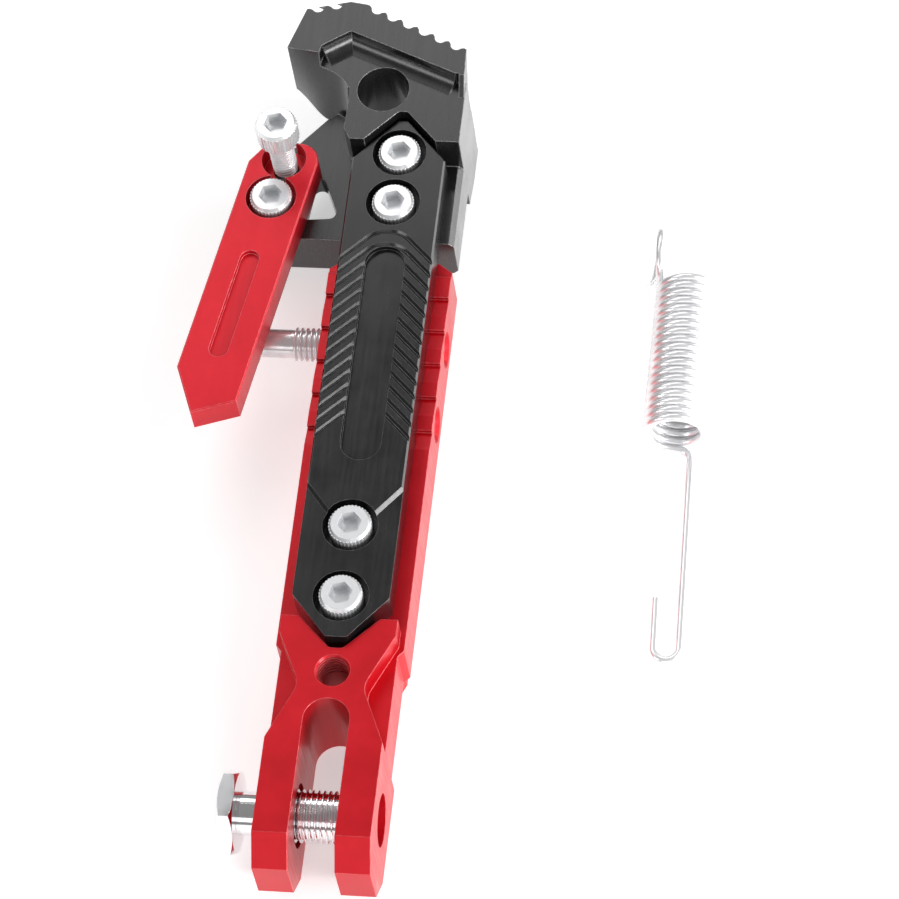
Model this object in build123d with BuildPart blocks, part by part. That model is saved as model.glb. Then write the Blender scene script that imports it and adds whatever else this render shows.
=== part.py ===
"""Adjustable machined motorcycle kickstand with its separate return spring.

Frame: the pivot bolt's axis crosses the origin along X. +Y runs along the leg towards the
foot, +Z points out of the face that carries the extension plate. All sizes in millimetres.
"""
from build123d import *
import os
from math import cos, pi, radians, sin

os.makedirs("parts", exist_ok=True)

# ------------------------------------------------------------------ driving dimensions
RUN_GAP = 0.05            # radial clearance of a shaft in its hole
FACE_GAP = 0.1            # gap between flat faces on different moving bodies

# red leg
CORE_HALF_W = 13.25       # half width of the clevis and of the waist
BAR_HALF_W = 14.6         # half width of the bar that carries the rack
BAR_HALF_T = 6.4          # half thickness of the bar
CORE_HALF_T = 12.0        # half thickness of the ears and of the hourglass core
EAR_END_Y = -16.0
EAR_CHAMFER = 6.2
BAR_START_Y = 39.0
BAR_END_Y = 142.0
CORE_END_Y = 43.9         # where the hourglass core stops and the bare bar begins
WAIST_Y = 26.8
WAIST_HALF_W = 7.3
WAIST_LOW_Y = 13.3        # the waist's flanks meet the core's sides here
WAIST_HIGH_Y = 39.8       # and here
SLOT_W = 10.5             # clevis slot
SLOT_ROUND_Y = 18.3       # centre of the slot's round end
LUG_TAP_Y = 30.5          # threaded hole through the waist
SIDE_TAP_Y = (101.5, 121.8)
TAP_R = 3.6               # wall radius of the M8 threaded holes
LUG_RINGS = 6             # thread grooves drawn at the mouth of the waist's hole
GUIDE_SLOT_W = 8.0
GUIDE_SLOT_Y = (42.0, 110.0)
NUT_CHANNEL_W = 12.4
NUT_CHANNEL_Y = (41.5, 112.5)
NUT_CHANNEL_TOP_Z = -0.8
RACK_PITCH = 9.0
RACK_GROOVE_W = 5.0       # length of a notch's sloping floor
RACK_DEPTH = 1.1
RACK_LAST_WALL_Y = 96.3   # upright wall of the notch nearest the clevis
RACK_NOTCHES = 5

# black extension plate
PLATE_HALF_W = 11.1
PLATE_BOTTOM_Z = BAR_HALF_T + FACE_GAP
PLATE_TOP_Z = 14.8
PLATE_TIP_Y = 38.0
PLATE_LOW_Y = 48.2        # shoulders at the clevis end
PLATE_HIGH_Y = 165.1      # shoulders at the foot end
PLATE_APEX_Y = 176.1
PLATE_SCREW_Y = (48.3, 66.3, 152.9, 166.8)
COUNTERBORE_R = 6.4
COUNTERBORE_DEPTH = 5.3
RECESS_HALF_W = 4.75
RECESS_Y = (83.0, 140.7)
RECESS_DEPTH = 1.6
CHEVRON_PITCH = 3.65
CHEVRON_COUNT = 14
CHEVRON_APEX_Y = 147.6    # centre line of the groove nearest the foot, as a sharp apex
CHEVRON_GROOVE_W = 1.3    # across the mouth of the V-shaped groove
CHEVRON_DEPTH = 0.6
LOW_END_STEP = 0.8        # the plate's clevis end lies lower, below a V-shaped step
LOW_END_V_Y = (68.8, 79.3)
LOW_END_V_HALF_W = (4.4, 13.0)

# black foot
FOOT_HALF_T = 6.4
FOOT_FRONT_Y = 147.0
FOOT_RIGHT_X = 14.2
FOOT_BLOCK_LEFT_X = -13.4
FOOT_BLOCK_Y = 168.9
FOOT_BLOCK_TOP_Z = 17.0
SOLE_TOP_Z = 21.0
SOLE_BOTTOM_Z = -12.0
TOE_BOTTOM_Z = 3.5
COVE_R = 4.0              # hollow blend between the block's top and the sole's rim
FOOT_HOLE_XY = (-5.5, 183.1)
FOOT_HOLE_R = 6.2
TREAD_PITCH = 4.45
TREAD_START = 0.62        # first groove's place, in pitches from the facet's end
TREAD_R = 1.45
WING_WEB_T = 5.6
SOLE_LEAN = 4.3           # how far the sole's foot lies inside its top edge
TOE_WALL_LOW = ((-29.2, 191.6), (-25.0, 187.4), (-20.5, 183.0), (-17.0, 181.3), (-14.2, 179.0))
TOE_WALL_HIGH = ((-29.2, 191.6), (-25.3, 191.0), (-21.4, 190.5), (-17.2, 188.8), (-14.0, 184.5))

# red lever on the foot's wing
LEVER_PIVOT_XY = (-29.4, 154.0)
LEVER_ANGLE = -9.4        # plan angle of the lever's long axis
LEVER_T = 7.0
LEVER_BOTTOM_Z = FOOT_HALF_T + FACE_GAP
LEVER_TOP_Z = LEVER_BOTTOM_Z + LEVER_T
LEVER_HALF_W = 8.2
LEVER_BORE_R = 6.0
LEVER_BORE_DEPTH = 4.9
LOCK_HOLE_U = 10.8        # distance from the pivot screw to the lock screw
LOCK_SCREW_LIFT = 15.5    # how far the lock screw's head stands above the lever

# fasteners
M6_R = 3.0
M6_HEAD_R = 5.0
M6_HEAD_H = 6.0
M6_SOCKET_AF = 5.0
M6_CLEAR_R = 3.3
M6_PITCH = 1.0
M8_R = 4.0
M8_PITCH = 1.25
M12_R = 6.0
M12_PITCH = 1.25
NUT_L = 11.0
NUT_T = 4.6
BOLT_SEAT_X = -18.8       # underside of the pivot bolt's head, part way screwed in
BOLT_HEAD_T = 4.0
BOLT_HEAD_AF = 18.0
BOLT_NECK_R = 4.9
BOLT_NECK_L = 12.0
BOLT_THREAD_L = 14.5
POST_THREAD_END = 7.0      # spring post stations, measured outwards from the bar's flank
POST_NECK_END = 15.4
POST_HEAD_END = 17.9
DOWEL_R = 1.5
DOWEL_XY = ((8.2, 158.5), (-8.2, 161.5))

# return spring, lying beside the stand
SPRING_X = 69.35
SPRING_END_Y = (102.9, 145.6)
SPRING_R = 6.65           # coil centre line
WIRE_R = 1.0
SPRING_TURNS = 19.25
LOOP_R = 7.1
LOOP_OFFSET_X = 3.0
HOOK_TOP_X = 72.9
HOOK_BEND_R = 2.6
HOOK_END_X = 74.4
HOOK_END_Y = 51.9
HOOK_R = 2.95
HOOK_TIP_L = 12.9
FLOOR_Z = -CORE_HALF_T
SPRING_Z = FLOOR_Z + SPRING_R + WIRE_R


def ring_thread(major_r, pitch, start, end):
    """Half outline (radius, height) of a thread drawn as rings between two heights."""
    depth = 0.54 * pitch
    turns = int((end - start) / pitch)
    points = []
    for turn in range(turns):
        low = start + turn * pitch
        points.append((major_r - depth, low))
        points.append((major_r - depth, low + 0.25 * pitch))
        points.append((major_r, low + 0.55 * pitch))
        points.append((major_r, low + 0.75 * pitch))
    points.append((major_r - depth, low + pitch))
    return points


def socket_screw(x, y, seat_z, length):
    """M6 socket head cap screw standing along Z, its head resting on seat_z."""
    tip = -length
    knurls = 36
    frame = Plane(origin=(x, y, seat_z))
    shank = [(0, tip), *ring_thread(M6_R, M6_PITCH, tip + 0.5, -1.2), (M6_R - 0.1, -0.8)]
    shank += [(M6_R - 0.1, 0), (0, 0)]
    with BuildPart() as screw:
        with BuildSketch(Plane(origin=(x, y, seat_z), x_dir=(1, 0, 0), z_dir=(0, -1, 0))):
            with BuildLine():
                Polyline(*shank, close=True)
            make_face()
        revolve(axis=Axis((x, y, seat_z), (0, 0, 1)))
        with BuildSketch(frame):
            with BuildLine():
                rim = []
                for step in range(2 * knurls):
                    radius = M6_HEAD_R - 0.22 * (step % 2)
                    angle = pi * step / knurls
                    rim.append((radius * cos(angle), radius * sin(angle)))
                Polyline(*rim, close=True)
            make_face()
        extrude(amount=M6_HEAD_H - 0.8)
        with BuildSketch(frame.offset(M6_HEAD_H - 0.8)):
            Circle(M6_HEAD_R - 0.22)
        extrude(amount=0.8, taper=30)
        with BuildSketch(frame.offset(M6_HEAD_H)):
            RegularPolygon(M6_SOCKET_AF / 2, 6, major_radius=False, rotation=15)
        extrude(amount=-3.2, mode=Mode.SUBTRACT)
    return screw


# ------------------------------------------------------------------ leg
rack_walls_y = [RACK_LAST_WALL_Y + step * RACK_PITCH for step in range(RACK_NOTCHES)]

with BuildPart() as leg:
    # bar, with its far corners cut
    with BuildSketch(Plane.XY.offset(-BAR_HALF_T)):
        with BuildLine():
            Polyline(
                (-CORE_HALF_W, 0), (-CORE_HALF_W, BAR_START_Y - 1.5), (-BAR_HALF_W, BAR_START_Y),
                (-BAR_HALF_W, BAR_END_Y - 2.4), (-BAR_HALF_W + 3.4, BAR_END_Y),
                (BAR_HALF_W - 3.4, BAR_END_Y), (BAR_HALF_W, BAR_END_Y - 2.4),
                (BAR_HALF_W, BAR_START_Y), (CORE_HALF_W, BAR_START_Y - 1.5), (CORE_HALF_W, 0),
                close=True,
            )
        make_face()
    extrude(amount=2 * BAR_HALF_T)
    chamfer(leg.edges().filter_by(Axis.X).group_by(Axis.Y)[-1].sort_by(Axis.Z)[0], length=2.0)
    # hourglass core and clevis ears
    with BuildSketch(Plane.XY.offset(-CORE_HALF_T)) as core_outline:
        with BuildLine():
            Polyline(
                (-CORE_HALF_W, EAR_END_Y), (-CORE_HALF_W, WAIST_LOW_Y), (-WAIST_HALF_W, WAIST_Y),
                (-CORE_HALF_W, WAIST_HIGH_Y), (-CORE_HALF_W, CORE_END_Y),
                (CORE_HALF_W, CORE_END_Y), (CORE_HALF_W, WAIST_HIGH_Y), (WAIST_HALF_W, WAIST_Y),
                (CORE_HALF_W, WAIST_LOW_Y), (CORE_HALF_W, EAR_END_Y),
                close=True,
            )
        make_face()
        waist_corners = [v for v in core_outline.vertices() if abs(v.Y - WAIST_Y) < 0.1]
        fillet(waist_corners, radius=5)
    extrude(amount=2 * CORE_HALF_T)
    ear_ends = leg.edges().filter_by(Axis.X).group_by(Axis.Y)[0]
    chamfer(ear_ends, length=EAR_CHAMFER)
    # clevis slot with a round end, open towards the clevis end
    with BuildSketch(Plane.XY.offset(-CORE_HALF_T)):
        with Locations((0, (EAR_END_Y - 5 + SLOT_ROUND_Y) / 2)):
            Rectangle(SLOT_W, SLOT_ROUND_Y - EAR_END_Y + 5)
        with Locations((0, SLOT_ROUND_Y)):
            Circle(SLOT_W / 2)
    extrude(amount=2 * CORE_HALF_T, mode=Mode.SUBTRACT)
    # pocket that clears the plate's tip, above the bar only
    with BuildSketch(Plane.XY.offset(BAR_HALF_T)):
        with BuildLine():
            FilletPolyline(
                (-10.4, CORE_END_Y + 1), (-9.3, CORE_END_Y), (-1.6, 36.2), (1.6, 36.2),
                (9.3, CORE_END_Y), (10.4, CORE_END_Y + 1),
                radius=1.6,
            )
            Line((10.4, CORE_END_Y + 1), (-10.4, CORE_END_Y + 1))
        make_face()
    extrude(amount=CORE_HALF_T, mode=Mode.SUBTRACT)
    # ratchet notches across the bar, each with an upright wall and a sloping floor
    for wall_y in rack_walls_y:
        with BuildSketch(Plane.YZ.offset(-BAR_HALF_W - 1)):
            with BuildLine():
                Polyline(
                    (wall_y, BAR_HALF_T - RACK_DEPTH), (wall_y, BAR_HALF_T + 1),
                    (wall_y - RACK_GROOVE_W, BAR_HALF_T + 1), (wall_y - RACK_GROOVE_W, BAR_HALF_T),
                    close=True,
                )
            make_face()
        extrude(amount=2 * BAR_HALF_W + 2, mode=Mode.SUBTRACT)
    # low step at the bar's end
    with BuildSketch(Plane.XY.offset(BAR_HALF_T - 0.8)):
        with Locations((0, BAR_END_Y)):
            Rectangle(2 * BAR_HALF_W + 2, 8)
    extrude(amount=2, mode=Mode.SUBTRACT)
    # guide slot for the plate's tenon and screws, with a nut channel below it
    slot_mid = sum(GUIDE_SLOT_Y) / 2
    slot_len = GUIDE_SLOT_Y[1] - GUIDE_SLOT_Y[0]
    with BuildSketch(Plane.XY.offset(-CORE_HALF_T)):
        with Locations((0, slot_mid)):
            SlotOverall(slot_len, GUIDE_SLOT_W, rotation=90)
    extrude(amount=2 * CORE_HALF_T, mode=Mode.SUBTRACT)
    with BuildSketch(Plane.XY.offset(-CORE_HALF_T)):
        with Locations((0, sum(NUT_CHANNEL_Y) / 2)):
            RectangleRounded(NUT_CHANNEL_W, NUT_CHANNEL_Y[1] - NUT_CHANNEL_Y[0], 1.0)
    extrude(amount=CORE_HALF_T + NUT_CHANNEL_TOP_Z, mode=Mode.SUBTRACT)
    # pivot bores: clearance with a recess on the left ear, threaded on the right one
    with BuildSketch(Plane.YZ.offset(-CORE_HALF_W - 1)):
        Circle(M12_R + 0.08)
    extrude(amount=2 * CORE_HALF_W + 2, mode=Mode.SUBTRACT)
    with BuildSketch(Plane.YZ.offset(-SLOT_W / 2 - 1.2)):
        Circle(7.3)
    extrude(amount=1.3, mode=Mode.SUBTRACT)
    # threaded hole through the waist
    with Locations(Plane(origin=(0, LUG_TAP_Y, CORE_HALF_T))):
        CounterSinkHole(TAP_R, TAP_R + 0.4, depth=2 * CORE_HALF_T)
    for step in range(LUG_RINGS):
        with BuildSketch(Plane.XY.offset(CORE_HALF_T - M8_PITCH * (step + 1))):
            with Locations((0, LUG_TAP_Y)):
                Circle(M8_R - 0.05)
        extrude(amount=0.45 * M8_PITCH, mode=Mode.SUBTRACT)
    # threaded holes in both flanks; the far left one holds the spring post
    for tap_y in SIDE_TAP_Y:
        for side in (-1, 1):
            holds_post = side < 0 and tap_y == SIDE_TAP_Y[1]
            with Locations(Plane(origin=(side * BAR_HALF_W, tap_y, 0), z_dir=(side, 0, 0))):
                wall_r = M8_R + RUN_GAP if holds_post else TAP_R
                CounterSinkHole(wall_r, 4.5, depth=12 if holds_post else 7)
leg.part.label = "leg"
export_step(leg.part, "parts/leg.step")

# ------------------------------------------------------------------ extension plate
with BuildPart() as extension_plate:
    with BuildSketch(Plane.XY.offset(PLATE_BOTTOM_Z)) as plate_outline:
        with BuildLine():
            Polyline(
                (2.44, PLATE_TIP_Y), (PLATE_HALF_W, PLATE_LOW_Y), (PLATE_HALF_W, PLATE_HIGH_Y),
                (1.1, PLATE_APEX_Y), (-1.1, PLATE_APEX_Y), (-PLATE_HALF_W, PLATE_HIGH_Y),
                (-PLATE_HALF_W, PLATE_LOW_Y), (-2.44, PLATE_TIP_Y),
                close=True,
            )
        make_face()
        fillet(plate_outline.vertices(), radius=0.9)
    extrude(amount=PLATE_TOP_Z - PLATE_BOTTOM_Z)
    chamfer(extension_plate.faces().sort_by(Axis.Z)[-1].edges(), length=0.4)
    # tenon that slides in the leg's guide slot
    with BuildSketch(Plane.XY.offset(PLATE_BOTTOM_Z)):
        with Locations((0, 57.3)):
            SlotOverall(28.0, GUIDE_SLOT_W - 0.2, rotation=90)
    extrude(amount=-3.6)
    # the clevis end lies lower, behind a sloping V-shaped step
    with BuildSketch(Plane.XY.offset(PLATE_TOP_Z)):
        with BuildLine():
            Polyline(
                (LOW_END_V_HALF_W[1], PLATE_TIP_Y - 3), (LOW_END_V_HALF_W[1], LOW_END_V_Y[1]),
                (LOW_END_V_HALF_W[0], LOW_END_V_Y[0]), (-LOW_END_V_HALF_W[0], LOW_END_V_Y[0]),
                (-LOW_END_V_HALF_W[1], LOW_END_V_Y[1]), (-LOW_END_V_HALF_W[1], PLATE_TIP_Y - 3),
                close=True,
            )
        make_face()
    extrude(amount=-LOW_END_STEP, taper=45, mode=Mode.SUBTRACT)
    # chevron grooves that run out through both sides
    for step in range(CHEVRON_COUNT):
        apex_y = CHEVRON_APEX_Y - step * CHEVRON_PITCH
        reach = PLATE_HALF_W + 3
        with BuildSketch(Plane.XY.offset(PLATE_TOP_Z)):
            with BuildLine():
                FilletPolyline(
                    (-reach, apex_y - reach), (0, apex_y), (reach, apex_y - reach),
                    radius=7.0,
                )
            trace(line_width=CHEVRON_GROOVE_W)
        extrude(amount=-CHEVRON_DEPTH, taper=45, mode=Mode.SUBTRACT)
    # round-ended recess along the middle
    with BuildSketch(Plane.XY.offset(PLATE_TOP_Z - RECESS_DEPTH)):
        with Locations((0, sum(RECESS_Y) / 2)):
            SlotOverall(RECESS_Y[1] - RECESS_Y[0], 2 * RECESS_HALF_W, rotation=90)
    extrude(amount=RECESS_DEPTH + 1, mode=Mode.SUBTRACT)
    # counterbored screw holes
    for screw_y in PLATE_SCREW_Y:
        with Locations(Plane(origin=(0, screw_y, PLATE_TOP_Z))):
            CounterBoreHole(M6_CLEAR_R, COUNTERBORE_R, COUNTERBORE_DEPTH, depth=20)
    # dowel holes up from below
    for dowel_x, dowel_y in DOWEL_XY:
        with Locations(Plane(origin=(dowel_x, dowel_y, PLATE_BOTTOM_Z), z_dir=(0, 0, -1))):
            Hole(DOWEL_R + RUN_GAP, depth=5)
extension_plate.part.label = "extension_plate"
export_step(extension_plate.part, "parts/extension_plate.step")

# ------------------------------------------------------------------ foot
# outline of the sole's top, from the right end round to the toe, then back along its inner rim
sole_right = Vector(13.9, 192.6)
sole_bend = Vector(-11.2, 204.6)
sole_bend_left = Vector(-15.4, 205.3)
sole_left = Vector(-25.8, 202.8)
toe_tip = Vector(-29.2, 191.6)
rim_right = Vector(11.9, 185.7)
rim_bend = Vector(-14.4, 196.9)
rim_left = Vector(-20.9, 192.6)
sole_outer = [sole_right, sole_bend, sole_bend_left, sole_left]
sole_inner = [(-21.4, 190.5), rim_left, rim_bend, rim_right, (FOOT_RIGHT_X - 0.1, rim_right.Y)]

with BuildPart() as foot:
    # clamp plate and wing, with the outer right edge broken
    with BuildSketch(Plane.XY.offset(-FOOT_HALF_T)):
        with BuildLine():
            Polyline(
                (FOOT_RIGHT_X, FOOT_FRONT_Y), (-36, FOOT_FRONT_Y), (-36, 158), (-31.5, 167),
                (-19.9, 180.9), (FOOT_BLOCK_LEFT_X, 186), (FOOT_RIGHT_X, 186),
                close=True,
            )
        make_face()
    extrude(amount=2 * FOOT_HALF_T)
    outer_edges = foot.edges().filter_by(Axis.Y).group_by(Axis.X)[-1]
    chamfer(outer_edges, length=1.2)
    # raised block behind the plate
    with BuildSketch(Plane.XY.offset(SOLE_BOTTOM_Z)):
        with BuildLine():
            Polyline(
                (-12.1, FOOT_BLOCK_Y), (FOOT_RIGHT_X, FOOT_BLOCK_Y),
                (FOOT_RIGHT_X, rim_right.Y), (-14, 196), (-15.0, 187.0), (-14.0, 184.5),
                (FOOT_BLOCK_LEFT_X, 181), (-13.7, 171.8),
                close=True,
            )
        make_face()
    extrude(amount=FOOT_BLOCK_TOP_Z - SOLE_BOTTOM_Z)
    # sole wall, bent at the toe and leaning outwards towards its top
    lean = Vector(-SOLE_LEAN * 0.44, -SOLE_LEAN * 0.9)
    for height, shift in ((SOLE_BOTTOM_Z, lean), (SOLE_TOP_Z, Vector(0, 0))):
        with BuildSketch(Plane.XY.offset(height)):
            with BuildLine():
                Polyline(
                    *[tuple(corner + shift)[:2] for corner in sole_outer],
                    (toe_tip.X, toe_tip.Y), *[tuple(corner)[:2] for corner in sole_inner],
                    close=True,
                )
            make_face()
    loft(ruled=True)
    # leaning wall between the toe and the block's side
    for height, wall in ((TOE_BOTTOM_Z, TOE_WALL_LOW), (SOLE_TOP_Z, TOE_WALL_HIGH)):
        with BuildSketch(Plane.XY.offset(height)):
            with BuildLine():
                Spline(*wall)
                Polyline(wall[-1], (-12.5, 186), (-12.5, 196), (-26, 197), wall[0])
            make_face()
    loft(ruled=True)
    # hollow above the block's top, inside the sole's rim
    with BuildSketch(Plane.XY.offset(FOOT_BLOCK_TOP_Z)):
        with BuildLine():
            Polyline(
                (rim_right.X, rim_right.Y), (rim_bend.X, rim_bend.Y), (rim_left.X, rim_left.Y),
                (-21.4, 190.5), (-21.4, 175), (20, 160), (20, rim_right.Y), close=True,
            )
        make_face()
    extrude(amount=10, mode=Mode.SUBTRACT)
    # glossy cove from the block's top up to the rim
    for start, end in ((rim_right, rim_bend), (rim_bend, rim_left)):
        run = end - start
        across = Vector(-run.Y, run.X, 0).normalized()
        with BuildSketch(Plane(origin=(start.X, start.Y, FOOT_BLOCK_TOP_Z), x_dir=across, z_dir=run)):
            with BuildLine():
                Polyline(
                    (0, COVE_R), (-0.5, COVE_R), (-0.5, -1), (COVE_R, -1), (COVE_R, 0),
                )
                ThreePointArc((COVE_R, 0), (0.293 * COVE_R, 0.293 * COVE_R), (0, COVE_R))
            make_face()
        extrude(amount=run.length)
    # low lip that closes the cove's right end
    with BuildSketch(Plane.YZ.offset(12.8)):
        with BuildLine():
            Polyline(
                (188, FOOT_BLOCK_TOP_Z - 1), (188, SOLE_TOP_Z), (rim_right.Y - 0.4, SOLE_TOP_Z),
                (181.4, FOOT_BLOCK_TOP_Z), (181.4, FOOT_BLOCK_TOP_Z - 1), close=True,
            )
        make_face()
    extrude(amount=1.3)
    # underside: rises towards the toe and towards the clamp plate
    with BuildSketch(Plane.XZ.offset(-230)):
        with BuildLine():
            Polyline(
                (FOOT_RIGHT_X - 8, SOLE_BOTTOM_Z), (toe_tip.X, TOE_BOTTOM_Z), (-40, TOE_BOTTOM_Z),
                (-40, SOLE_BOTTOM_Z - 5), (FOOT_RIGHT_X - 8, SOLE_BOTTOM_Z - 5),
                close=True,
            )
        make_face()
    extrude(amount=230 - 181, mode=Mode.SUBTRACT)
    with BuildSketch(Plane.YZ.offset(-45)):
        with BuildLine():
            Polyline(
                (140, -FOOT_HALF_T), (163.5, -FOOT_HALF_T), (167, -9.5), (177, SOLE_BOTTOM_Z),
                (177, -20), (140, -20),
                close=True,
            )
        make_face()
    extrude(amount=70, mode=Mode.SUBTRACT)
    # V pocket round the plate's apex, open towards the clevis
    with BuildSketch(Plane.XY.offset(FOOT_HALF_T)):
        with BuildLine():
            FilletPolyline(
                (-8.6, FOOT_BLOCK_Y - 5), (-8.6, FOOT_BLOCK_Y), (-1.0, PLATE_APEX_Y + 0.9),
                (1.0, PLATE_APEX_Y + 0.9), (8.6, FOOT_BLOCK_Y), (8.6, FOOT_BLOCK_Y - 5),
                radius=0.9,
            )
            Line((8.6, FOOT_BLOCK_Y - 5), (-8.6, FOOT_BLOCK_Y - 5))
        make_face()
    extrude(amount=20, mode=Mode.SUBTRACT)
    # hole through the block
    with Locations(Plane(origin=(*FOOT_HOLE_XY, SOLE_TOP_Z))):
        Hole(FOOT_HOLE_R, depth=40)
    # three-cornered lightening hole through the wing
    with BuildSketch(Plane.XY.offset(-FOOT_HALF_T)) as wing_hole:
        with BuildLine():
            Polyline((-20.4, 168.2), (-13.9, 153.1), (-23.7, 152.2), close=True)
        make_face()
        fillet(wing_hole.vertices(), radius=1.8)
    extrude(amount=2 * FOOT_HALF_T, mode=Mode.SUBTRACT)
    # the web round that hole is thinned from below
    with BuildSketch(Plane.XY.offset(-FOOT_HALF_T)) as wing_pocket:
        with BuildLine():
            Polyline((-22.2, 174.5), (-12.6, 154.0), (-24.5, 151.5), close=True)
        make_face()
        fillet(wing_pocket.vertices(), radius=2.0)
    extrude(amount=2 * FOOT_HALF_T - WING_WEB_T, mode=Mode.SUBTRACT)
    # tread grooves down the sole's outer face
    for start, end, count in ((sole_right, sole_bend, 6), (sole_left, sole_bend_left, 2)):
        along = (end - start).normalized()
        for step in range(count):
            spot = start + along * (TREAD_PITCH * (step + TREAD_START))
            top = Vector(spot.X, spot.Y, SOLE_TOP_Z)
            with BuildSketch(Plane(origin=top, x_dir=along, z_dir=Vector(-lean.X, -lean.Y, 33))):
                Circle(TREAD_R)
                with BuildLine():
                    Polyline(
                        (-2.1, 0), (-1.2, 0.6), (1.2, 0.6), (2.1, 0), (1.2, -0.6), (-1.2, -0.6),
                        close=True,
                    )
                make_face()
            extrude(amount=-40, mode=Mode.SUBTRACT)
    # screw and dowel holes
    for screw_y in PLATE_SCREW_Y[2:]:
        with Locations(Plane(origin=(0, screw_y, FOOT_HALF_T))):
            Hole(M6_R + RUN_GAP, depth=30)
    lever_dir = (sin(radians(-LEVER_ANGLE)), cos(radians(LEVER_ANGLE)))
    lock_xy = (LEVER_PIVOT_XY[0] + LOCK_HOLE_U * lever_dir[0],
               LEVER_PIVOT_XY[1] + LOCK_HOLE_U * lever_dir[1])
    for hole_x, hole_y in (LEVER_PIVOT_XY, lock_xy):
        with Locations(Plane(origin=(hole_x, hole_y, FOOT_HALF_T))):
            Hole(M6_R + RUN_GAP, depth=30)
    for dowel_x, dowel_y in DOWEL_XY:
        with Locations(Plane(origin=(dowel_x, dowel_y, FOOT_HALF_T))):
            Hole(DOWEL_R + RUN_GAP, depth=6)
foot.part.label = "foot"
export_step(foot.part, "parts/foot.step")

# ------------------------------------------------------------------ lever
lever_plane = Plane(
    origin=(*LEVER_PIVOT_XY, LEVER_BOTTOM_Z),
    x_dir=(cos(radians(LEVER_ANGLE)), sin(radians(LEVER_ANGLE)), 0),
    z_dir=(0, 0, 1),
)
with BuildPart() as lever:
    with BuildSketch(lever_plane) as lever_outline:
        with BuildLine():
            Polyline(
                (-LEVER_HALF_W, 8.8), (-4.6, 15.6), (LEVER_HALF_W, 16.4),
                (LEVER_HALF_W, -55.5), (-1.5, -60.7), (-LEVER_HALF_W, -49.4),
                close=True,
            )
        make_face()
        top_right = lever_outline.vertices().sort_by(Axis((0, 0, 0), (1, 1, 0)))[-1]
        fillet(top_right, radius=5)
    extrude(amount=LEVER_T)
    chamfer(lever.faces().sort_by(Axis.Z)[-1].edges(), length=0.3)
    # bores for the pivot screw's bush and for the lock screw
    with Locations(lever_plane.offset(LEVER_T)):
        CounterBoreHole(4.05, LEVER_BORE_R, LEVER_BORE_DEPTH, depth=20)
    with Locations(Plane(origin=(*lock_xy, LEVER_TOP_Z))):
        Hole(M6_R + RUN_GAP, depth=20)
    with BuildSketch(Plane(origin=(*lock_xy, LEVER_TOP_Z))):
        Circle(5.3)
    extrude(amount=-LEVER_BORE_DEPTH, mode=Mode.SUBTRACT)
    # shallow round-bottomed finger groove
    groove_plane = lever_plane.offset(LEVER_T)
    with BuildSketch(groove_plane):
        with Locations((0, -30.2)):
            SlotOverall(29.6, 4.6, rotation=90)
    extrude(amount=-1.3, mode=Mode.SUBTRACT)
lever.part.label = "lever"
export_step(lever.part, "parts/lever.step")

# ------------------------------------------------------------------ screws
plate_seat_z = PLATE_TOP_Z - COUNTERBORE_DEPTH
for number, screw_y in enumerate(PLATE_SCREW_Y, start=1):
    plate_screw = socket_screw(0, screw_y, plate_seat_z, 14.0)
    plate_screw.part.label = f"plate_screw_{number}"
    export_step(plate_screw.part, f"parts/plate_screw_{number}.step")

lever_seat_z = LEVER_TOP_Z - LEVER_BORE_DEPTH
lever_pivot_screw = socket_screw(*LEVER_PIVOT_XY, lever_seat_z, 14.0)
lever_pivot_screw.part.label = "lever_pivot_screw"
export_step(lever_pivot_screw.part, "parts/lever_pivot_screw.step")

lock_seat_z = LEVER_TOP_Z + LOCK_SCREW_LIFT - M6_HEAD_H
lever_lock_screw = socket_screw(*lock_xy, lock_seat_z, 14.0)
lever_lock_screw.part.label = "lever_lock_screw"
export_step(lever_lock_screw.part, "parts/lever_lock_screw.step")

# ------------------------------------------------------------------ lever bush
with BuildPart() as lever_bush:
    with BuildSketch(Plane(origin=(*LEVER_PIVOT_XY, FOOT_HALF_T))):
        Circle(4.0)
        Circle(M6_R + RUN_GAP, mode=Mode.SUBTRACT)
    extrude(amount=lever_seat_z - FOOT_HALF_T)
lever_bush.part.label = "lever_bush"
export_step(lever_bush.part, "parts/lever_bush.step")

# ------------------------------------------------------------------ slot nuts
for number, nut_y in enumerate(PLATE_SCREW_Y[:2], start=1):
    with BuildPart() as slot_nut:
        with BuildSketch(Plane.XY.offset(NUT_CHANNEL_TOP_Z - FACE_GAP)):
            with Locations((0, nut_y)):
                RectangleRounded(NUT_CHANNEL_W - 0.4, NUT_L, 1.0)
        extrude(amount=-NUT_T)
        with Locations(Plane(origin=(0, nut_y, NUT_CHANNEL_TOP_Z - FACE_GAP))):
            Hole(M6_R + RUN_GAP, depth=20)
    slot_nut.part.label = f"slot_nut_{number}"
    export_step(slot_nut.part, f"parts/slot_nut_{number}.step")

# ------------------------------------------------------------------ dowels
for number, (dowel_x, dowel_y) in enumerate(DOWEL_XY, start=1):
    with BuildPart() as dowel:
        with BuildSketch(Plane(origin=(dowel_x, dowel_y, FOOT_HALF_T - 5.5))):
            Circle(DOWEL_R)
        extrude(amount=10)
        chamfer(dowel.edges().filter_by(GeomType.CIRCLE), length=0.4)
    dowel.part.label = f"dowel_{number}"
    export_step(dowel.part, f"parts/dowel_{number}.step")

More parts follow.
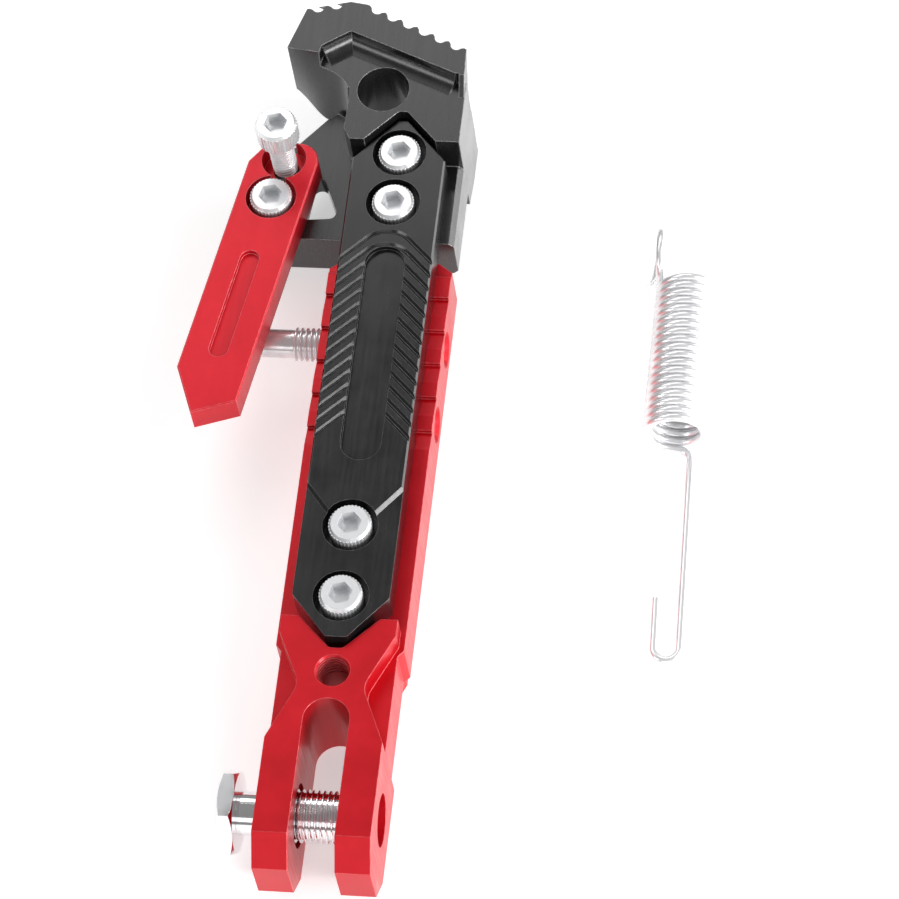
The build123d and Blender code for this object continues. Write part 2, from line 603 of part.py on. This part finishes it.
# ------------------------------------------------------------------ spring post
post_outline = [(0, -9.8), *ring_thread(M8_R, M8_PITCH, -9.6, POST_THREAD_END)]
post_outline += [(3.4, POST_THREAD_END + 0.2), (3.4, POST_NECK_END), (5.0, POST_NECK_END)]
post_outline += [(5.0, POST_HEAD_END - 0.5), (4.5, POST_HEAD_END), (0, POST_HEAD_END)]
post_frame = Plane(origin=(-BAR_HALF_W, SIDE_TAP_Y[1], 0), x_dir=(0, 1, 0), z_dir=(0, 0, 1))
with BuildPart() as spring_post:
    with BuildSketch(post_frame):
        with BuildLine():
            Polyline(*post_outline, close=True)
        make_face()
    revolve(axis=Axis((-BAR_HALF_W, SIDE_TAP_Y[1], 0), (1, 0, 0)))
spring_post.part.label = "spring_post"
export_step(spring_post.part, "parts/spring_post.step")

# ------------------------------------------------------------------ pivot bolt
neck_end = BOLT_SEAT_X + BOLT_NECK_L
thread_end = neck_end + BOLT_THREAD_L
bolt_outline = [(0, BOLT_SEAT_X), (BOLT_NECK_R, BOLT_SEAT_X), (BOLT_NECK_R, neck_end)]
bolt_outline += ring_thread(M12_R, M12_PITCH, neck_end + 0.2, thread_end)
bolt_outline += [(4.6, thread_end + 0.4), (0, thread_end + 0.4)]
bolt_frame = Plane(origin=(0, 0, 0), x_dir=(0, 1, 0), z_dir=(0, 0, -1))
with BuildPart() as pivot_bolt:
    with BuildSketch(Plane.YZ.offset(BOLT_SEAT_X)):
        RegularPolygon(BOLT_HEAD_AF / 2, 6, major_radius=False)
    extrude(amount=-BOLT_HEAD_T)
    # both faces of the head lose the sharp tips of the hexagon
    head_outer_x = BOLT_SEAT_X - BOLT_HEAD_T
    with BuildSketch(bolt_frame):
        with BuildLine():
            Polyline(
                (0, head_outer_x), (8.4, head_outer_x), (10.8, head_outer_x + 1.3),
                (10.8, BOLT_SEAT_X - 0.9), (9.0, BOLT_SEAT_X), (0, BOLT_SEAT_X),
                close=True,
            )
        make_face()
    revolve(axis=Axis.X, mode=Mode.INTERSECT)
    with BuildSketch(bolt_frame):
        with BuildLine():
            Polyline(*bolt_outline, close=True)
        make_face()
    revolve(axis=Axis.X)
pivot_bolt.part.label = "pivot_bolt"
export_step(pivot_bolt.part, "parts/pivot_bolt.step")

# ------------------------------------------------------------------ return spring
coil_start_y = SPRING_END_Y[0] + WIRE_R
coil_height = SPRING_END_Y[1] - SPRING_END_Y[0] - 2 * WIRE_R
coil_plane = Plane(origin=(SPRING_X, coil_start_y, SPRING_Z), x_dir=(0, 0, -1), z_dir=(0, 1, 0))
hook_z = SPRING_Z - SPRING_R
loop_points = []
for step in range(1, 12):
    angle = 2 * pi * 0.9 * step / 11
    loop_points.append((
        SPRING_X - SPRING_R - LOOP_OFFSET_X * (step / 11) ** 2,
        coil_start_y + coil_height + LOOP_R * (1 - cos(angle)),
        SPRING_Z + LOOP_R * sin(angle),
    ))
with BuildPart() as return_spring:
    coil_path = coil_plane * Helix(coil_height / SPRING_TURNS, coil_height, SPRING_R, mode=Mode.PRIVATE)
    with BuildLine():
        loop_path = Spline(coil_path @ 1, *loop_points, tangents=(coil_path % 1, (0, -1, 1)))
    with BuildLine() as hook_path:
        lead_out = -(coil_path % 0)
        bend = Line(coil_path @ 0, coil_path @ 0 + lead_out * (HOOK_TOP_X - HOOK_BEND_R - SPRING_X))
        turn = TangentArc(bend @ 1, (HOOK_TOP_X, coil_start_y - HOOK_BEND_R, hook_z), tangent=lead_out)
        shank = Line(turn @ 1, (HOOK_END_X, HOOK_END_Y, hook_z))
        tip_start = (HOOK_END_X - 2 * HOOK_R, HOOK_END_Y - 0.2, hook_z)
        u_turn = TangentArc(shank @ 1, tip_start, tangent=shank % 1)
        Line(u_turn @ 1, u_turn @ 1 + (u_turn % 1) * HOOK_TIP_L)
    for path in (coil_path, loop_path, *hook_path.edges()):
        with BuildSketch(Plane(origin=path @ 0, z_dir=path % 0)):
            Circle(WIRE_R)
        sweep(path=path, is_frenet=path is coil_path)
return_spring.part.label = "return_spring"
export_step(return_spring.part, "parts/return_spring.step")
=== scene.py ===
"""Looks of the adjustable kickstand: red and black anodised aluminium, bright fasteners, wire spring.

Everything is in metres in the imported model's frame: +Y along the leg, +Z out of the plate's face.
"""
import math

import bpy
from mathutils import Matrix, Vector


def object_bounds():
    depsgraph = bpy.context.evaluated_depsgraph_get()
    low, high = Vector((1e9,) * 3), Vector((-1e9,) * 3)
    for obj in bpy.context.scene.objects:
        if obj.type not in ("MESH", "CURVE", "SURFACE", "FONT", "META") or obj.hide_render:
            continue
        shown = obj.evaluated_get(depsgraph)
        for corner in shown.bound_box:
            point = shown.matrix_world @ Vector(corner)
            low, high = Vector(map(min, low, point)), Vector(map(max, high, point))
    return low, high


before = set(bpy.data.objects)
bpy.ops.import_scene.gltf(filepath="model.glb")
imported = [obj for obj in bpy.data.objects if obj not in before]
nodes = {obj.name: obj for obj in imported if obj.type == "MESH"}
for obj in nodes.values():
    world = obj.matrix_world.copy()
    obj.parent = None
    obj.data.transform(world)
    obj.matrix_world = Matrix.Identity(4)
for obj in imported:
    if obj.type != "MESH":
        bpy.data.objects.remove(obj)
cad_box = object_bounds()

MM = 0.001
FLOOR_GAP = 0.3 * MM       # between the lowest CAD point and the paper
FLOOR_SPAN = 4.0
WORLD_STRENGTH = 0.27
EDGE_DOT_START = 0.995     # cosine between rounded and flat normal where an edge begins to show
EDGE_DOT_FULL = 0.88       # and where the painted edge highlight is at full strength


# ------------------------------------------------------------------ node helpers
class Graph:
    """A material's node tree with short ways to add nodes and link them."""

    def __init__(self, name):
        self.material = bpy.data.materials.new(name)
        self.material.use_nodes = True
        self.tree = self.material.node_tree
        self.tree.nodes.clear()
        self.output = self.add("ShaderNodeOutputMaterial")
        self.shader = self.add("ShaderNodeBsdfPrincipled")
        self.link(self.shader, "BSDF", self.output, "Surface")
        self.coords = self.add("ShaderNodeTexCoord")

    def add(self, kind):
        return self.tree.nodes.new(kind)

    def link(self, source, out_name, target, in_name):
        self.tree.links.new(source.outputs[out_name], target.inputs[in_name])

    def set(self, **values):
        for key, value in values.items():
            self.shader.inputs[key.replace("_", " ")].default_value = value

    def mapped(self, scale, rotation=(0, 0, 0)):
        """Object coordinates, turned and then scaled per axis."""
        turn = self.add("ShaderNodeMapping")
        turn.inputs["Rotation"].default_value = rotation
        stretch = self.add("ShaderNodeMapping")
        stretch.inputs["Scale"].default_value = scale
        self.link(self.coords, "Object", turn, "Vector")
        self.link(turn, "Vector", stretch, "Vector")
        return stretch

    def noise(self, scale, stretch=(1, 1, 1), detail=4.0, rotation=(0, 0, 0)):
        node = self.add("ShaderNodeTexNoise")
        node.inputs["Scale"].default_value = scale
        node.inputs["Detail"].default_value = detail
        node.inputs["Roughness"].default_value = 0.6
        self.link(self.mapped(stretch, rotation), "Vector", node, "Vector")
        return node

    def remap(self, source, out_name, low, high, to_low, to_high):
        node = self.add("ShaderNodeMapRange")
        for key, value in zip(("From Min", "From Max", "To Min", "To Max"), (low, high, to_low, to_high)):
            node.inputs[key].default_value = value
        self.link(source, out_name, node, "Value")
        return node

    def math(self, operation, first, second):
        node = self.add("ShaderNodeMath")
        node.operation = operation
        self.tree.links.new(first, node.inputs[0])
        self.tree.links.new(second, node.inputs[1])
        return node.outputs[0]

    def ramp(self, source, stops):
        node = self.add("ShaderNodeValToRGB")
        self.tree.links.new(source, node.inputs["Fac"])
        while len(node.color_ramp.elements) < len(stops):
            node.color_ramp.elements.new(0.5)
        for element, (position, colour) in zip(node.color_ramp.elements, stops):
            element.position = position
            element.color = (*colour, 1)
        return node.outputs["Color"]

    def mix(self, factor, first, second):
        """Blend of two colours; each may be an output or a plain (r, g, b)."""
        node = self.add("ShaderNodeMix")
        node.data_type = "RGBA"
        self.tree.links.new(factor, node.inputs["Factor"])
        for socket, value in ((node.inputs[6], first), (node.inputs[7], second)):
            if isinstance(value, tuple):
                socket.default_value = (*value, 1)
            else:
                self.tree.links.new(value, socket)
        return node.outputs[2]

    def bump(self, height, strength, distance, base=None):
        node = self.add("ShaderNodeBump")
        node.inputs["Strength"].default_value = strength
        node.inputs["Distance"].default_value = distance
        self.tree.links.new(height, node.inputs["Height"])
        if base is not None:
            self.tree.links.new(base, node.inputs["Normal"])
        return node.outputs["Normal"]

    def soft_edges(self, radius):
        """(rounded normal, 0..1 mask of the edges) for edges broken by that radius."""
        bevel = self.add("ShaderNodeBevel")
        bevel.samples = 6
        bevel.inputs["Radius"].default_value = radius
        geometry = self.add("ShaderNodeNewGeometry")
        facing = self.add("ShaderNodeVectorMath")
        facing.operation = "DOT_PRODUCT"
        self.link(bevel, "Normal", facing, 0)
        self.link(geometry, "True Normal", facing, 1)
        mask = self.remap(facing, "Value", EDGE_DOT_START, EDGE_DOT_FULL, 0.0, 1.0)
        return bevel.outputs["Normal"], mask.outputs["Result"]


def anodised(name, base, light, dark, edge_highlight, roughness, coat, metallic, grain_axis, bevel=0.30 * MM):
    """Machined and anodised aluminium: a little cloudy, with fine cutter marks and a painted highlight on
    the edges.

    base, light and dark are the clouding's three colours, and the edge colour is a highlight painted on
    edges broken by the bevel radius, in random patches. grain_axis stretches the cutter marks.
    """
    g = Graph(name)
    cloud = g.noise(90, detail=5)
    speck = g.noise(2600, detail=2)
    marks = g.noise(55, stretch=grain_axis, detail=3)
    tint = g.ramp(cloud.outputs["Fac"], ((0.30, dark), (0.52, base), (0.78, light)))
    rounded, edge_highlight_mask = g.soft_edges(bevel)
    # Painted highlight: bevelled edges are mixed towards the paler edge colour, broken up in random
    # patches.
    edge_highlight_noise = g.noise(700, detail=6)
    patchy = g.remap(edge_highlight_noise, "Fac", 0.40, 0.62, 0.45, 1.0).outputs["Result"]
    painted_edge_highlight = g.math("MULTIPLY", edge_highlight_mask, patchy)
    g.tree.links.new(g.mix(painted_edge_highlight, tint, edge_highlight), g.shader.inputs["Base Color"])
    rough_cloud = g.remap(cloud, "Fac", 0.3, 0.7, roughness - 0.04, roughness + 0.05).outputs["Result"]
    rough_marks = g.remap(marks, "Fac", 0.3, 0.7, -0.05, 0.05).outputs["Result"]
    g.tree.links.new(g.math("ADD", rough_cloud, rough_marks), g.shader.inputs["Roughness"])
    lifted = g.bump(speck.outputs["Fac"], 0.10, 0.02 * MM, rounded)
    g.tree.links.new(g.bump(marks.outputs["Fac"], 0.04, 0.03 * MM, lifted), g.shader.inputs["Normal"])
    g.set(Metallic=metallic, Coat_Weight=coat, Coat_Roughness=0.18, IOR=1.45)
    return g


def add_cutter_ripple(g, period, strength):
    """Regular vertical ripple that an end mill leaves on upright walls only."""
    geometry = g.add("ShaderNodeNewGeometry")
    parts = g.add("ShaderNodeSeparateXYZ")
    g.link(geometry, "True Normal", parts, "Vector")
    upright = g.remap(parts, "Z", 0.35, 0.05, 0.0, 1.0).outputs["Result"]
    wave = g.add("ShaderNodeTexWave")
    wave.wave_type = "BANDS"
    wave.bands_direction = "DIAGONAL"
    wave.inputs["Scale"].default_value = 0.314 / period
    wave.inputs["Distortion"].default_value = 0.4
    g.link(g.mapped((1, 1, 0)), "Vector", wave, "Vector")
    height = g.math("MULTIPLY", wave.outputs["Fac"], upright)
    current = g.shader.inputs["Normal"].links[0].from_socket
    g.tree.links.new(g.bump(height, strength, 0.03 * MM, current), g.shader.inputs["Normal"])


def plated_steel(name, base, shade, roughness, bump_strength, scale=900, metallic=1.0):
    """Bright zinc or chrome plating with fine orange peel, faint clouding and a painted highlight on its
    edges.
    """
    g = Graph(name)
    peel = g.noise(scale, detail=4)
    cloud = g.noise(160, detail=5)
    rounded, edge_highlight_mask = g.soft_edges(0.12 * MM)
    tint = g.ramp(cloud.outputs["Fac"], ((0.32, shade), (0.62, base)))
    # Painted highlight: bevelled edges are mixed towards a brighter copy of the base colour.
    edge_highlight_colour = tuple(min(1.0, channel * 1.12) for channel in base)
    g.tree.links.new(g.mix(edge_highlight_mask, tint, edge_highlight_colour), g.shader.inputs["Base Color"])
    rough = g.remap(cloud, "Fac", 0.3, 0.7, roughness + 0.06, roughness - 0.05).outputs["Result"]
    g.tree.links.new(rough, g.shader.inputs["Roughness"])
    peeled = g.bump(peel.outputs["Fac"], bump_strength, 0.03 * MM, rounded)
    g.tree.links.new(peeled, g.shader.inputs["Normal"])
    g.set(Metallic=metallic)
    return g


def paint(node, graph):
    """Give every material slot of a CAD node this material."""
    slots = nodes[node].material_slots
    if not slots:
        nodes[node].data.materials.append(graph.material)
    for place in slots:
        place.material = graph.material


# ------------------------------------------------------------------ materials
# Each edge colour below is a painted highlight on the bevelled edges.
red_leg = anodised(
    "red_anodised_leg", base=(0.55, 0.003, 0.011), light=(0.61, 0.006, 0.016),
    dark=(0.49, 0.002, 0.008), edge_highlight=(0.95, 0.22, 0.24), roughness=0.36, coat=0.12, metallic=0.55,
    grain_axis=(1, 22, 1),
)
add_cutter_ripple(red_leg, 0.42 * MM, 0.10)
red_lever = anodised(
    "red_anodised_lever", base=(0.60, 0.006, 0.018), light=(0.66, 0.011, 0.025),
    dark=(0.54, 0.004, 0.013), edge_highlight=(0.95, 0.34, 0.36), roughness=0.38, coat=0.12, metallic=0.45,
    grain_axis=(22, 1, 1),
)
black_plate = anodised(
    "black_anodised_plate", base=(0.008, 0.008, 0.0085), light=(0.013, 0.013, 0.0135),
    dark=(0.005, 0.005, 0.0055), edge_highlight=(0.34, 0.34, 0.345), roughness=0.21, coat=0.35, metallic=0.2,
    grain_axis=(18, 1, 1), bevel=0.13 * MM,
)
black_foot = anodised(
    "black_anodised_foot", base=(0.010, 0.010, 0.0105), light=(0.016, 0.016, 0.0165),
    dark=(0.007, 0.007, 0.0075), edge_highlight=(0.36, 0.36, 0.365), roughness=0.25, coat=0.5, metallic=0.2,
    grain_axis=(14, 1, 1), bevel=0.40 * MM,
)
zinc = plated_steel("bright_zinc", (0.86, 0.87, 0.88), (0.70, 0.71, 0.73), 0.22, 0.30, metallic=0.6)
chrome = plated_steel("bolt_chrome", (0.88, 0.88, 0.89), (0.76, 0.76, 0.78), 0.12, 0.08)
wire = plated_steel(
    "spring_wire", (0.93, 0.93, 0.94), (0.80, 0.80, 0.82), 0.20, 0.10, scale=1500, metallic=0.6,
)
plain = plated_steel("plain_steel", (0.55, 0.55, 0.55), (0.40, 0.40, 0.40), 0.34, 0.20)
brass = plated_steel("brass", (0.80, 0.60, 0.28), (0.66, 0.48, 0.20), 0.28, 0.12)

FINISH = {
    "leg": red_leg,
    "lever": red_lever,
    "extension_plate": black_plate,
    "foot": black_foot,
    "pivot_bolt": chrome,
    "return_spring": wire,
    "lever_bush": brass,
    "slot_nut_1": plain,
    "slot_nut_2": plain,
    "dowel_1": plain,
    "dowel_2": plain,
}
for node_name in nodes:
    paint(node_name, FINISH.get(node_name, zinc))

# ------------------------------------------------------------------ floor
floor_mesh = bpy.data.meshes.new("floor")
floor_z = cad_box[0][2] - FLOOR_GAP
signs = ((-1, -1), (1, -1), (1, 1), (-1, 1))
corners = [(x * FLOOR_SPAN, y * FLOOR_SPAN, floor_z) for x, y in signs]
floor_mesh.from_pydata(corners, [], [(0, 1, 2, 3)])
floor = bpy.data.objects.new("floor", floor_mesh)
bpy.context.scene.collection.objects.link(floor)
paper = Graph("white_paper")
fibre = paper.noise(900, detail=3)
white = paper.ramp(fibre.outputs["Fac"], ((0.3, (0.76, 0.76, 0.76)), (0.7, (0.80, 0.80, 0.80))))
paper.tree.links.new(white, paper.shader.inputs["Base Color"])
paper.set(Roughness=0.75, Emission_Color=(1, 1, 1, 1), Emission_Strength=0.50)
floor_mesh.materials.append(paper.material)

# ------------------------------------------------------------------ light
world = bpy.data.worlds.new("light_tent")
world.use_nodes = True
world.node_tree.nodes["Background"].inputs["Color"].default_value = (1.0, 1.0, 1.0, 1)
world.node_tree.nodes["Background"].inputs["Strength"].default_value = WORLD_STRENGTH
bpy.context.scene.world = world


def softbox(name, place, size, power, aim=(0.02, 0.09, 0.0)):
    """Rectangular area light of that size and power in watts, turned towards aim."""
    data = bpy.data.lights.new(name, "AREA")
    data.shape = "RECTANGLE"
    data.size, data.size_y = size
    data.energy = power
    lamp = bpy.data.objects.new(name, data)
    lamp.location = place
    lamp.rotation_euler = (Vector(aim) - Vector(place)).to_track_quat("-Z", "Y").to_euler()
    bpy.context.scene.collection.objects.link(lamp)


softbox("key", (-0.75, 0.55, 1.10), (0.8, 0.8), 3.2)
softbox("fill", (0.95, 0.10, 0.75), (0.6, 0.9), 6.0)
softbox("front", (0.10, -1.10, 0.60), (1.0, 0.5), 2.2)
softbox("front_left", (-0.78, -0.54, 0.56), (0.5, 0.35), 2.5)
softbox("back", (-0.18, 1.08, 1.00), (0.9, 0.5), 3.4, aim=(0.0, 0.17, 0.0))
softbox("rim", (0.95, 0.62, 0.20), (0.5, 0.3), 2.5)
softbox("low_panel", (0.83, -0.40, 0.31), (0.45, 0.32), 9.0)

# ------------------------------------------------------------------ camera
AZIMUTH = math.radians(15.92)
ELEVATION = math.radians(59.34)
ROLL = math.radians(-11.32)
DISTANCE = 1.10285
TARGET = Vector((0.01816, 0.09515, 0.0))
out = Vector((
    math.sin(AZIMUTH) * math.cos(ELEVATION),
    -math.cos(AZIMUTH) * math.cos(ELEVATION),
    math.sin(ELEVATION),
))
right = (-out).cross(Vector((0, 0, 1))).normalized()
up = right.cross(-out)
cam_x = math.cos(ROLL) * right + math.sin(ROLL) * up
cam_y = -math.sin(ROLL) * right + math.cos(ROLL) * up
camera_data = bpy.data.cameras.new("camera")
camera_data.sensor_width = 36.0
camera_data.lens = 191.24
camera_data.clip_start = 0.05
camera_data.clip_end = 20.0
camera = bpy.data.objects.new("camera", camera_data)
turn = Matrix((cam_x, cam_y, out)).transposed().to_4x4()
camera.matrix_world = Matrix.Translation(TARGET + DISTANCE * out) @ turn
bpy.context.scene.collection.objects.link(camera)
bpy.context.scene.camera = camera
bpy.context.scene.view_settings.view_transform = "Standard"
bpy.context.scene.view_settings.look = "None"
